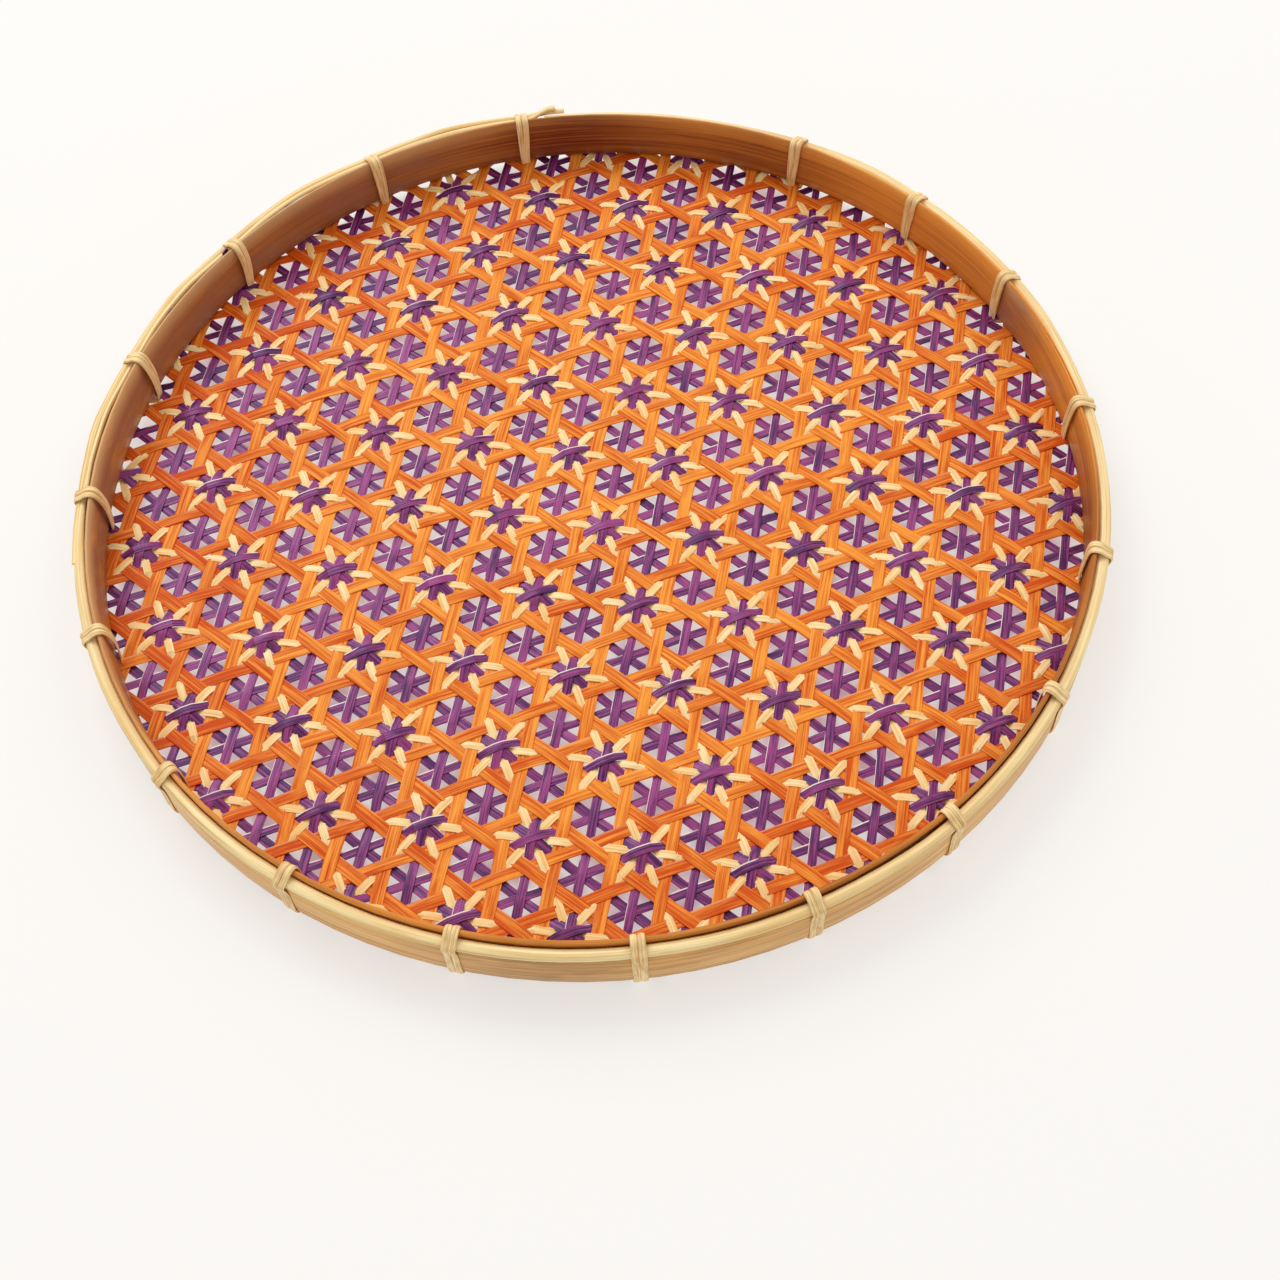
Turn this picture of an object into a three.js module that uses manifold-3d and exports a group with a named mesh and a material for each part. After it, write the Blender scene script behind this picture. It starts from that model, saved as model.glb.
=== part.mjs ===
// Round winnowing basket: a shallow tray of open hexagonal bamboo weave, held
// between an inner and an outer bamboo hoop, finished with a split cane along
// the rim and bound with rattan lashings.
//
// Units are millimetres, +Z is up. The origin is on the floor at the middle of
// the tray, and the first weaving direction runs along +Y.

import * as THREE from 'three';
import { mergeVertices } from 'three/addons/utils/BufferGeometryUtils.js';
import Module from 'manifold-3d';

const wasm = await Module();
wasm.setup();

// ---- Driving dimensions -----------------------------------------------------

const RIM_RADIUS = 175; // outer face of the outer hoop
const OUTER_HOOP_WALL = 1.8;
const OUTER_HOOP_HEIGHT = 16.8;
const OUTER_HOOP_LIFT = 3; // underside of the outer hoop above the floor
const HOOP_GAP = 2.6; // room between the hoops for the turned-up strip ends
const INNER_HOOP_WALL = 1.6;
const INNER_HOOP_HEIGHT = 18.9;
const INNER_HOOP_LEAN = 0.8; // the inner hoop's top edge lies this much further out
const SCARF_ANGLES = { inner_hoop: 36, outer_hoop: 218 }; // degrees, where each hoop's ends meet
const SCARF_SLIT = 0.6;
const SCARF_SLANT = 60; // degrees from the radius
const INNER_HOOP_EDGE = 0.4; // how far the hoops' edges are broken
const OUTER_HOOP_EDGE = 0.5;
const ENDS_TRIM = 1; // the turned-up ends stop this far below the outer hoop's top

const CANE_WIDTH = 4;
const CANE_THICKNESS = 2.4;
const CANE_SHOULDER = 0.45; // the sides stand up to this share of the thickness
const CANE_CREST = 0.4; // and the top is flat over this share of the width
const CANE_WANDER = 0.3; // the cane's line strays this much in and out along the rim
const CANE_WAVES = { start: 230, perTurn: 1.5 }; // where the stray starts and how often it comes round
const CANE_ARC = [200, 463.5]; // degrees, counter-clockwise from +X
const SPLINT_WIDTH = 1.7; // the cane's split end lies on as two thin splints
const SPLINT_THICKNESS = 1.9;
const SPLINT_ARC = [104, 199.5];

const LASHING_WIDTH = 4; // two turns of rattan side by side
const LASHING_THICKNESS = 1;
const LASHING_CORNER = 0.8;
const LASHING_CLEARANCE = 0.3;
const LASHING_ANGLES = [
  109, 129, 150.5, 171, 191, 210, 230, 248, 266.5,
  285, 303, 320, 338.5, 357.5, 18, 38.5, 55, 72.5,
]; // degrees, tied by hand and not quite even

const HEX_SPACING = 20; // from the centre of one open hexagon to the next
const FLOWER_OFFSET = [5.6, -8.7]; // one flower's centre, from the middle of the tray
const WEAVE_DIRECTIONS = { a: 90, b: 30, c: -30 }; // degrees that the strips of the open hexagons run in
const PETAL_TURN = 90; // the petal strips cross them at this angle
const ORANGE_WIDTH = 4;
const PURPLE_WIDTH = 3.1;
const CREAM_WIDTH = 2.6;
const STRIP_THICKNESS = 0.3;
const LAYER_GAP = 0.08; // between crossing layers of strips
const LAYERS = { // counted up from the lowest set of strips
  purple: { c: 0, b: 1, a: 2 },
  orange: { c: 3, a: 4, b: 5 },
  cream: { a: 6, b: 7, c: 8 },
};
const MAT_CLEARANCE = 0.5; // the mat lies this far above the lashings that pass under it
const BORDER_LIP = 0.5; // the ring that joins one set of strips reaches this far past the lashings

const FIT = 0.3; // clearance between pieces that touch
const RING_SEGMENTS = 60;
const BORDER_SEGMENTS = 36;
const HOLE_STEP = 12; // degrees between the points on a hole's curved side
const CANE_STEPS = 48;
const SPLINT_STEPS = 20;
const MERGE_DISTANCE = 1e-4;
const ON_AXIS = 1e-6;

// ---- Derived places ---------------------------------------------------------

const outerHoopInside = RIM_RADIUS - OUTER_HOOP_WALL;
const innerHoopOutside = outerHoopInside - HOOP_GAP;
const innerHoopInside = innerHoopOutside - INNER_HOOP_WALL;

const matBottom = LASHING_THICKNESS + MAT_CLEARANCE;
const layerPitch = STRIP_THICKNESS + LAYER_GAP;
const layerCount = Object.values(LAYERS).flatMap((set) => Object.values(set)).length;
const matTop = matBottom + layerCount * layerPitch - LAYER_GAP;
const innerHoopBottom = matTop + FIT;
const innerHoopTop = innerHoopBottom + INNER_HOOP_HEIGHT;
const outerHoopTop = OUTER_HOOP_LIFT + OUTER_HOOP_HEIGHT;

const innerHoopTopOutside = innerHoopOutside + INNER_HOOP_LEAN;
const caneBottom = outerHoopTop + FIT;
const caneRadius = innerHoopTopOutside + FIT + CANE_WANDER + CANE_WIDTH / 2;
const caneOutside = caneRadius + CANE_WANDER + CANE_WIDTH / 2;

const lashingInside = innerHoopInside - LASHING_CLEARANCE;
const lashingOutside = Math.max(caneOutside, RIM_RADIUS) + LASHING_CLEARANCE;
const caneTop = caneBottom + CANE_THICKNESS;
// The band's cut corners clear the cane at the top and the mat at the bottom.
const lashingTop = Math.max(innerHoopTop, caneTop + LASHING_CORNER) + LASHING_CLEARANCE;
const lashingSlotLength = LASHING_WIDTH + 2 * FIT;
const slotInside = lashingInside - LASHING_THICKNESS - FIT;
const slotOutside = lashingInside + Math.max(FIT, LASHING_CORNER - MAT_CLEARANCE);
const borderInside = slotInside - BORDER_LIP;

const row = HEX_SPACING * Math.sqrt(3) / 2; // between neighbouring parallel strips
const petalRow = 1.5 * HEX_SPACING; // between neighbouring parallel petal strips

// ---- Geometry helpers -------------------------------------------------------

const radians = THREE.MathUtils.degToRad;

function toSolid(geometry) {
  const bare = geometry.clone();
  bare.deleteAttribute('normal');
  bare.deleteAttribute('uv');
  const merged = mergeVertices(bare, MERGE_DISTANCE);
  return new wasm.Manifold(new wasm.Mesh({
    numProp: 3,
    vertProperties: new Float32Array(merged.attributes.position.array),
    triVerts: new Uint32Array(merged.index.array),
  }));
}

function toGeometry(solid) {
  const mesh = solid.getMesh();
  const geometry = new THREE.BufferGeometry();
  geometry.setAttribute('position', new THREE.BufferAttribute(mesh.vertProperties, mesh.numProp));
  geometry.setIndex(new THREE.BufferAttribute(mesh.triVerts, 1));
  geometry.computeVertexNormals();
  return geometry;
}

// A ring about +Z from a closed profile of [radius, height] points, counter-clockwise.
function ring(profile, segments = RING_SEGMENTS) {
  const points = [...profile, profile[0]].map(([radius, height]) => new THREE.Vector2(radius, height));
  return new THREE.LatheGeometry(points, segments).rotateX(Math.PI / 2);
}

function polygon(points) {
  return new THREE.Shape(points.map(([x, y]) => new THREE.Vector2(x, y)));
}

// ---- Hoops ------------------------------------------------------------------

// A hoop is a bent strip, so a slanted slit parts its two ends. The cut is twice as long
// and twice as tall as it needs to be.
function cutScarf(geometry, degrees, inside, outside, top) {
  const slit = new THREE.BoxGeometry(
    SCARF_SLIT, 2 * (outside - inside + SCARF_SLIT) / Math.cos(radians(SCARF_SLANT)), 2 * top)
    .rotateZ(radians(SCARF_SLANT) - Math.PI / 2)
    .translate((inside + outside) / 2, 0, top / 2)
    .rotateZ(radians(degrees));
  return toGeometry(toSolid(geometry).subtract(toSolid(slit)));
}

function innerHoop() {
  const edge = INNER_HOOP_EDGE;
  const inside = innerHoopInside;
  const outside = innerHoopOutside;
  const lean = INNER_HOOP_LEAN;
  const hoop = ring([
    [inside + edge, innerHoopBottom],
    [outside, innerHoopBottom],
    [outside + lean, innerHoopTop],
    [inside + lean + edge, innerHoopTop],
    [inside + lean, innerHoopTop - edge],
    [inside, innerHoopBottom + edge],
  ]);
  return cutScarf(hoop, SCARF_ANGLES.inner_hoop, inside, outside + lean, innerHoopTop);
}

function outerHoop() {
  const edge = OUTER_HOOP_EDGE;
  const hoop = ring([
    [outerHoopInside, OUTER_HOOP_LIFT],
    [RIM_RADIUS - edge, OUTER_HOOP_LIFT],
    [RIM_RADIUS, OUTER_HOOP_LIFT + 2 * edge],
    [RIM_RADIUS, outerHoopTop - 2 * edge],
    [RIM_RADIUS - edge, outerHoopTop],
    [outerHoopInside, outerHoopTop],
  ]);
  return cutScarf(hoop, SCARF_ANGLES.outer_hoop, outerHoopInside, RIM_RADIUS, outerHoopTop);
}

// The woven strips' ends, turned up and packed between the two hoops.
function stripEnds() {
  const inside = innerHoopOutside + FIT;
  const outside = outerHoopInside - FIT;
  const top = outerHoopTop - ENDS_TRIM;
  const lean = INNER_HOOP_LEAN * (top - innerHoopBottom) / INNER_HOOP_HEIGHT;
  return ring([
    [inside, matBottom],
    [outside, matBottom],
    [outside, top],
    [inside + lean, top],
    [inside, innerHoopBottom],
  ]);
}

// ---- Rim cane and its split end ---------------------------------------------

// A flat-bottomed, round-topped strip bent along an arc of the rim.
function rimStrip(width, thickness, radiusAt, [start, end], steps) {
  const half = width / 2;
  const shoulder = CANE_SHOULDER * thickness;
  // The section's first axis points down and its second points out of the ring.
  const section = polygon([
    [0, -half], [0, half], [-shoulder, half], [-thickness, CANE_CREST * half],
    [-thickness, -CANE_CREST * half], [-shoulder, -half],
  ]);
  const points = [];
  for (let i = 0; i <= steps; i++) {
    const degrees = start + (end - start) * i / steps;
    const radius = radiusAt(degrees);
    const angle = radians(degrees);
    points.push(new THREE.Vector3(radius * Math.cos(angle), radius * Math.sin(angle), caneBottom));
  }
  const extrudePath = new THREE.CatmullRomCurve3(points);
  return new THREE.ExtrudeGeometry(section, { steps, extrudePath, bevelEnabled: false });
}

function rimCane() {
  const { start, perTurn } = CANE_WAVES;
  const wander = (degrees) => caneRadius + CANE_WANDER * Math.sin(radians(degrees - start) * perTurn);
  return rimStrip(CANE_WIDTH, CANE_THICKNESS, wander, CANE_ARC, CANE_STEPS);
}

function rimSplint(radius) {
  return rimStrip(SPLINT_WIDTH, SPLINT_THICKNESS, () => radius, SPLINT_ARC, SPLINT_STEPS);
}

// ---- Woven mat --------------------------------------------------------------

// The open space between two strips, or outside the last one, within the border ring:
// a slice of the disc of the given radius from one distance across to another.
function slice(radius, low, high) {
  const lowAngle = Math.asin(Math.max(-1, low / radius));
  const highAngle = Math.asin(Math.min(1, high / radius));
  const steps = Math.ceil((highAngle - lowAngle) / radians(HOLE_STEP));
  const points = [];
  for (let i = 0; i <= steps; i++) {
    const angle = lowAngle + (highAngle - lowAngle) * i / steps;
    points.push([radius * Math.cos(angle), radius * Math.sin(angle)]);
  }
  const left = points.filter(([x]) => x > ON_AXIS).map(([x, y]) => [-x, y]).reverse();
  return polygon([...points, ...left]);
}

// One set of parallel strips: all strips of one colour that run in one direction,
// held together by a narrow border ring. The lashings pass through slots in it.
function stripSet(width, spacing, phase, directionDegrees, layer) {
  const outside = innerHoopOutside;
  const sheet = new THREE.Shape().absarc(0, 0, outside, 0, 2 * Math.PI);

  const first = Math.ceil((width / 2 - borderInside - phase) / spacing);
  const last = Math.floor((borderInside - width / 2 - phase) / spacing);
  let openFrom = -borderInside;
  for (let i = first; i <= last; i++) {
    const across = phase + i * spacing;
    sheet.holes.push(slice(borderInside, openFrom, across - width / 2));
    openFrom = across + width / 2;
  }
  sheet.holes.push(slice(borderInside, openFrom, borderInside));

  for (const degrees of LASHING_ANGLES) {
    const turn = new THREE.Vector2();
    const corners = [
      [slotInside, -1], [slotOutside, -1], [slotOutside, 1], [slotInside, 1],
    ].map(([radius, side]) => turn.set(radius, side * lashingSlotLength / 2)
      .rotateAround(new THREE.Vector2(), radians(degrees - directionDegrees)).toArray());
    sheet.holes.push(polygon(corners));
  }
  return new THREE.ExtrudeGeometry(sheet, {
    depth: STRIP_THICKNESS, bevelEnabled: false, steps: 1, curveSegments: BORDER_SEGMENTS,
  }).rotateZ(radians(directionDegrees)).translate(0, 0, matBottom + layer * layerPitch);
}

// Distance of the flower's centre from the line through the tray's middle, across a direction.
function flowerAcross(directionDegrees) {
  const angle = radians(directionDegrees);
  return -FLOWER_OFFSET[0] * Math.sin(angle) + FLOWER_OFFSET[1] * Math.cos(angle);
}

// ---- Lashings ---------------------------------------------------------------

// A closed band of rattan: up the inner hoop, over the cane, down the outside, under the hoops.
function lashing() {
  const outline = (offset) => {
    const inside = lashingInside - offset;
    const outside = lashingOutside + offset;
    const bottom = LASHING_THICKNESS - offset;
    const top = lashingTop + offset;
    const corner = LASHING_CORNER + offset / 2;
    return [
      [inside, bottom + corner], [inside + corner, bottom],
      [outside - corner, bottom], [outside, bottom + corner],
      [outside, top - 2 * corner], [outside - 2 * corner, top - corner / 2],
      [inside + 2 * corner, top], [inside, top - corner],
    ];
  };
  const band = polygon(outline(LASHING_THICKNESS));
  band.holes.push(polygon(outline(0)));
  return new THREE.ExtrudeGeometry(band, { depth: LASHING_WIDTH, bevelEnabled: false, steps: 1 })
    .translate(0, 0, -LASHING_WIDTH / 2)
    .rotateX(Math.PI / 2);
}

// ---- Assembly ---------------------------------------------------------------

const materials = {
  innerBamboo: { color: 0x9a6238, roughness: 0.45, metalness: 0 },
  outerBamboo: { color: 0xcba06a, roughness: 0.5, metalness: 0 },
  cane: { color: 0xe6c67c, roughness: 0.4, metalness: 0 },
  rattan: { color: 0xdcba80, roughness: 0.5, metalness: 0 },
  orange: { color: 0xe0702c, roughness: 0.5, metalness: 0 },
  purple: { color: 0x6a2a7a, roughness: 0.4, metalness: 0 },
  cream: { color: 0xf3d58c, roughness: 0.55, metalness: 0 },
};

const group = new THREE.Group();

function addPiece(name, geometry, finish) {
  const mesh = new THREE.Mesh(geometry, new THREE.MeshStandardMaterial(materials[finish]));
  mesh.name = name;
  group.add(mesh);
  return mesh;
}

addPiece('inner_hoop', innerHoop(), 'innerBamboo');
addPiece('outer_hoop', outerHoop(), 'outerBamboo');
addPiece('strip_ends', stripEnds(), 'purple');
addPiece('rim_cane', rimCane(), 'cane');
const splintInner = innerHoopTopOutside + FIT + SPLINT_WIDTH / 2;
addPiece('rim_splint_inner', rimSplint(splintInner), 'cane');
addPiece('rim_splint_outer', rimSplint(splintInner + SPLINT_WIDTH + FIT), 'cane');

for (const [letter, direction] of Object.entries(WEAVE_DIRECTIONS)) {
  const flower = flowerAcross(direction);
  const petalDirection = direction + PETAL_TURN;
  addPiece(`purple_strips_${letter}`,
    stripSet(PURPLE_WIDTH, row, flower, direction, LAYERS.purple[letter]), 'purple');
  addPiece(`orange_strips_${letter}`,
    stripSet(ORANGE_WIDTH, row, flower + row / 2, direction, LAYERS.orange[letter]), 'orange');
  addPiece(`cream_strips_${letter}`,
    stripSet(CREAM_WIDTH, petalRow, flowerAcross(petalDirection), petalDirection,
      LAYERS.cream[letter]), 'cream');
}

LASHING_ANGLES.forEach((degrees, index) => {
  const piece = addPiece(`lashing_${String(index + 1).padStart(2, '0')}`, lashing(), 'rattan');
  piece.rotation.z = radians(degrees);
});

export default group;
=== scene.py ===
"""Round winnowing basket: a shallow bamboo tray of hexagonal flower weave.

Three colours of strip run in three directions. They are held between an inner
and an outer hoop, a split cane lies along the rim, and rattan lashings bind it.
"""

import math

import bmesh
import bpy
import numpy as np
from mathutils import Matrix, Vector


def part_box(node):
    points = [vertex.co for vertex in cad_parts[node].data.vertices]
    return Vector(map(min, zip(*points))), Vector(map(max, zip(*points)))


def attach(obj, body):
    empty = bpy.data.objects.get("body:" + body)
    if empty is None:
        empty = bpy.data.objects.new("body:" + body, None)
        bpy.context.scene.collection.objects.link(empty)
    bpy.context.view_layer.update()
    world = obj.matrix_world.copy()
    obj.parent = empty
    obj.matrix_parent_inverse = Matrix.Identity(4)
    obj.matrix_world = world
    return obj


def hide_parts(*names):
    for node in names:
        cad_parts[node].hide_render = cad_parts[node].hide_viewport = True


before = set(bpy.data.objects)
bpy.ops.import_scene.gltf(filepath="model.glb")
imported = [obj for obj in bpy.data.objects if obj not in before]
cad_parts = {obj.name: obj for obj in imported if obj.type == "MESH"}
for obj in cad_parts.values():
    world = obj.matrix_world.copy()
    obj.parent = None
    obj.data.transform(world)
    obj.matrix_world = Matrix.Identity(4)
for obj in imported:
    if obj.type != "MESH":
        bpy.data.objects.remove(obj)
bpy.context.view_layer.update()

bl_info = {
    "name": "Winnowing basket",
    "version": (1, 0, 0),
    "blender": (4, 5, 0),
    "location": "3D View > Sidebar > Basket",
    "description": "Weaves and binds a round bamboo tray around its packed frame",
    "category": "Add Mesh",
}

MM = 0.001
LETTERS = "abc"
DIRECTIONS = {"a": 90.0, "b": 30.0, "c": -30.0}  # degrees that the orange strips run in


def linear(hex_text):
    """Turns an sRGB hex colour to linear values, with full alpha."""
    parts = [int(hex_text[i:i + 2], 16) / 255 for i in (0, 2, 4)]
    values = [p / 12.92 if p <= 0.04045 else ((p + 0.055) / 1.055) ** 2.4 for p in parts]
    return (*values, 1.0)


# ---- The frame's own places, in metres ----

OUTER_LOW, OUTER_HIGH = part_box("outer_hoop")
INNER_LOW, INNER_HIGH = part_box("inner_hoop")
RIM_RADIUS = OUTER_HIGH.y
OUTER_BOTTOM, OUTER_TOP = OUTER_LOW.z, OUTER_HIGH.z
INNER_BOTTOM, INNER_TOP = INNER_LOW.z, INNER_HIGH.z
INNER_TOP_OUTSIDE = INNER_HIGH.y  # the inner hoop's outer face at its top edge
CANE_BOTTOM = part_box("rim_cane")[0].z
LASHINGS = sorted(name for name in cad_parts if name.startswith("lashing_"))


def lashing_angle(name):
    low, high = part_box(name)
    return math.atan2(low.y + high.y, low.x + high.x)


# ---- Sizes and colours that a user may change ----


def length(name, millimetres, description):
    return bpy.props.FloatProperty(
        name=name, description=description, default=millimetres * MM, unit="LENGTH",
        subtype="DISTANCE")


def rotation(name, degrees, description):
    return bpy.props.FloatProperty(
        name=name, description=description, default=math.radians(degrees), unit="ROTATION",
        subtype="ANGLE")


def colour(name, hex_text, description):
    return bpy.props.FloatVectorProperty(
        name=name, description=description, default=linear(hex_text), size=4, subtype="COLOR",
        min=0.0, max=1.0)


class WeaveSettings(bpy.types.PropertyGroup):
    hex_spacing: length("Hexagon spacing", 20.07, "Between the centres of open hexagons")
    flower_x: length("Flower X", 5.6, "One flower's centre from the tray's middle")
    flower_y: length("Flower Y", -8.7, "One flower's centre from the tray's middle")
    skew: bpy.props.FloatProperty(
        name="Skew", description="How far the hand-woven directions lean together", default=0.0123)
    level: length("Mat level", 3.9, "Mid-thickness of the orange weave above the floor")
    orange_width: length("Orange width", 4.1, "Width of the orange strips")
    purple_width: length("Purple width", 3.1, "Width of the purple strips")
    cream_width: length("Cream width", 2.7, "Width of the cream strips")
    thickness: length("Strip thickness", 0.36, "Thickness of a split strip")
    orange: colour("Orange", "FDA33C", "Orange dye where it took lightly")
    orange_deep: colour("Deep orange", "D04E06", "Orange dye where it took deeply")
    purple: colour("Purple", "9E3D78", "Purple dye where it took lightly")
    purple_deep: colour("Deep purple", "480E46", "Purple dye where it took deeply")
    cream: colour("Cream", "FFE8B2", "Undyed strip")
    cream_deep: colour("Aged cream", "F4BE6E", "Undyed strip along its darker fibres")


class RimSettings(bpy.types.PropertyGroup):
    inner_wall: length("Inner wall", 1.6, "Thickness of the inner hoop")
    outer_wall: length("Outer wall", 1.8, "Thickness of the outer hoop")
    lean: length("Lean", 0.8, "How far the inner hoop's top lies outside its foot")
    cane_width: length("Cane width", 4.1, "Width of the rim cane")
    cane_height: length("Cane height", 2.4, "Thickness of the rim cane")
    splint_width: length("Splint width", 2.2, "Width of each half of the split cane")
    rattan_width: length("Rattan width", 2.35, "Width of the lashing strand")
    rattan_thickness: length("Rattan thickness", 0.75, "Thickness of the lashing strand")
    inner: colour("Inner hoop", "EA983E", "Smooth inner face of split bamboo")
    inner_deep: colour("Inner hoop, dark", "742C10", "The hoop's darker fibres")
    outer: colour("Outer hoop", "FAC878", "Outer hoop's pale fibres")
    outer_deep: colour("Outer hoop, dark", "C0823E", "Outer hoop's darker fibres")
    cane: colour("Cane", "FFE9AE", "Peeled cane")
    cane_deep: colour("Cane, dark", "ECC27C", "Peeled cane's darker fibres")
    rattan: colour("Rattan", "FFE4AA", "Split rattan")
    rattan_deep: colour("Rattan, dark", "DAAC66", "Split rattan's darker fibres")


class StageSettings(bpy.types.PropertyGroup):
    azimuth: rotation("Azimuth", 12.63, "Where the camera stands round the tray")
    elevation: rotation("Elevation", 58.82, "How high the camera looks down from")
    roll: rotation("Roll", -3.77, "The camera's own tilt")
    distance: length("Distance", 654.4, "From the camera to the tray's middle, along its axis")
    aim_right: length("Aim right", 16.7, "The camera looks this far right of the middle")
    aim_down: length("Aim down", 47.0, "The camera looks this far below the middle")
    lens: bpy.props.FloatProperty(
        name="Lens", description="Focal length for a 36 mm sensor", default=52.7, unit="CAMERA")
    paper: colour("Paper", "FAF8F5", "The pale sheet that the tray stands on")


# ---- Modelling helpers ----


def deselect_all():
    if bpy.context.object and bpy.context.object.mode != "OBJECT":
        bpy.ops.object.mode_set(mode="OBJECT")
    bpy.ops.object.select_all(action="DESELECT")


def rod_blank(sides, steps):
    """Adds a straight rod, rings it with cuts along its length and leaves it selected."""
    deselect_all()
    bpy.ops.mesh.primitive_cylinder_add(vertices=sides, radius=1, depth=1, end_fill_type="NGON")
    rod = bpy.context.object
    bpy.ops.object.mode_set(mode="EDIT")
    bpy.ops.mesh.select_mode(type="EDGE")
    bpy.ops.mesh.select_all(action="DESELECT")
    cage = bmesh.from_edit_mesh(rod.data)
    for edge in cage.edges:
        edge.select = abs(edge.verts[0].co.z - edge.verts[1].co.z) > 0.5
    bmesh.update_edit_mesh(rod.data)
    bpy.ops.mesh.subdivide(number_cuts=steps - 1)
    bpy.ops.object.mode_set(mode="OBJECT")
    return rod


def rod_along(path, shape, steps, scale=None, grain_start=0.0, tone=0.0, wear=None, raw_edge=0.0):
    """Makes a rod of one section and moves its rings along a path.

    shape holds each side's place across and through the piece, scale(t) stretches both on the
    way, and path(t, across, through) gives the place in space. The grain map runs along the
    piece and across it, in millimetres.
    """
    sides = len(shape)
    rod = rod_blank(sides, steps)
    mesh = rod.data
    count = len(mesh.vertices)
    rest = np.empty(count * 3)
    mesh.vertices.foreach_get("co", rest)
    rest = rest.reshape(-1, 3)
    t = rest[:, 2] + 0.5
    side = np.round(np.arctan2(rest[:, 1], rest[:, 0]) / (2 * math.pi / sides)).astype(int) % sides
    across, through = shape[side, 0], shape[side, 1]
    if scale:
        wide, high = scale(t)
        across, through = across * wide, through * high
    placed = path(t, across, through)
    mesh.vertices.foreach_set("co", placed.ravel())

    order = np.argsort(t, kind="stable")
    middle = path(t, 0 * across, 0 * through)[order]
    run = np.concatenate([[0], np.cumsum(np.linalg.norm(np.diff(middle, axis=0), axis=1))])
    along = np.empty(count)
    along[order] = run
    grain = np.stack([along / MM, across / MM + grain_start], axis=1)

    for layer in list(mesh.uv_layers):
        mesh.uv_layers.remove(layer)
    uv = mesh.uv_layers.new(name="Grain")
    corner_vertex = np.empty(len(mesh.loops), dtype=int)
    mesh.loops.foreach_get("vertex_index", corner_vertex)
    uv.data.foreach_set("uv", grain[corner_vertex].astype(np.float32).ravel())
    for name, values in (
        ("tone", tone(t) if callable(tone) else np.full(count, tone)),
        ("edge", raw_edge * across / max(np.abs(across).max(), 1e-9)),
        ("wear", wear(t) if wear else np.zeros(count)),
    ):
        layer = mesh.attributes.new(name, "FLOAT", "POINT")
        layer.data.foreach_set("value", values.astype(np.float32))
    mesh.update()
    return rod


def merge(parts):
    """Joins parts to one object and makes it the active one."""
    deselect_all()
    for part in parts:
        part.select_set(True)
    bpy.context.view_layer.objects.active = parts[0]
    if len(parts) > 1:
        bpy.ops.object.join()
    return bpy.context.object


def join(parts, name, crease=40):
    """Joins parts to a piece with its faces pointing out and edges over crease degrees sharp."""
    piece = merge(parts)
    bpy.ops.object.mode_set(mode="EDIT")
    bpy.ops.mesh.select_all(action="SELECT")
    bpy.ops.mesh.normals_make_consistent(inside=False)
    bpy.ops.object.mode_set(mode="OBJECT")
    bpy.ops.object.shade_smooth_by_angle(angle=math.radians(crease))
    piece.name = piece.data.name = name
    return piece


def coat(piece, material):
    piece.data.materials.clear()
    piece.data.materials.append(material)


def hand_over(piece, material, slot, *nodes):
    """Gives a piece its material, hangs it on the root and hides the frame parts that it stands for."""
    coat(piece, material)
    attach(piece, "root")
    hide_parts(*nodes)


def flat_section(width, thickness, crown):
    """A split strip's section: flat below, faintly crowned on top, with its top corners broken."""
    half, rise = width / 2, thickness / 2
    broken = 0.25 * thickness
    points = [
        (half, rise - broken), (half - broken, rise), (0, rise + crown), (broken - half, rise),
        (-half, rise - broken), (-half, -rise), (0, -rise), (half, -rise),
    ]
    return np.array(points)


ROUND_SHARE = 0.62  # how much of a split cane's thickness lies above its line
FLAT_SHARE = 0.38  # and how much below


def half_round_section(width, height, sides):
    """A split cane's section: flat below, round on top."""
    angles = np.arange(sides) * 2 * math.pi / sides
    across = np.sign(np.cos(angles)) * np.abs(np.cos(angles)) ** 0.8 * width / 2
    through = np.where(np.sin(angles) > 0, np.sin(angles) * height * ROUND_SHARE,
                       np.sin(angles) * height * FLAT_SHARE)
    return np.stack([across, through], axis=1)


def wander(t, seed, waves, amount):
    """A slow, repeatable stray of a hand-made line: the sum of a few sines."""
    draw = np.random.default_rng(seed)
    out = np.zeros_like(t)
    for wave in waves:
        out = out + np.sin(2 * math.pi * (wave * t + draw.random())) * amount / math.sqrt(len(waves))
    return out


def smooth(x):
    x = np.clip(x, 0, 1)
    return x * x * (3 - 2 * x)


def between(at, knots):
    """A smooth value from knots of a place, a value and maybe a rest: how far it stays level there."""
    places, values, rests = (np.array(column) for column in zip(*((*knot, 0.0)[:3] for knot in knots)))
    right = np.clip(np.searchsorted(places, at), 1, len(places) - 1)
    left = right - 1
    start, end = places[left] + rests[left], places[right] - rests[right]
    part = smooth((at - start) / np.maximum(end - start, 0.3 * MM))
    return values[left] + (values[right] - values[left]) * part


# ---- Materials ----


def add_node(tree, kind, inputs=None, **settings):
    """Adds one node with its settings; an input is a value or another node's socket."""
    made = tree.nodes.new(kind)
    for name, value in settings.items():
        setattr(made, name, value)
    for socket, value in (inputs or {}).items():
        if isinstance(value, bpy.types.NodeSocket):
            tree.links.new(value, made.inputs[socket])
        else:
            made.inputs[socket].default_value = value
    return made


def new_tree(name):
    """Makes a material and returns it with its node tree emptied."""
    material = bpy.data.materials.new(name)
    material.use_nodes = True
    material.node_tree.nodes.clear()
    return material, material.node_tree


def cover(tree, inputs):
    """Ends a tree with its shader."""
    shader = add_node(tree, "ShaderNodeBsdfPrincipled", inputs)
    add_node(tree, "ShaderNodeOutputMaterial", {"Surface": shader.outputs["BSDF"]})


def attribute(tree, name):
    return add_node(tree, "ShaderNodeAttribute", attribute_name=name).outputs["Fac"]


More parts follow.
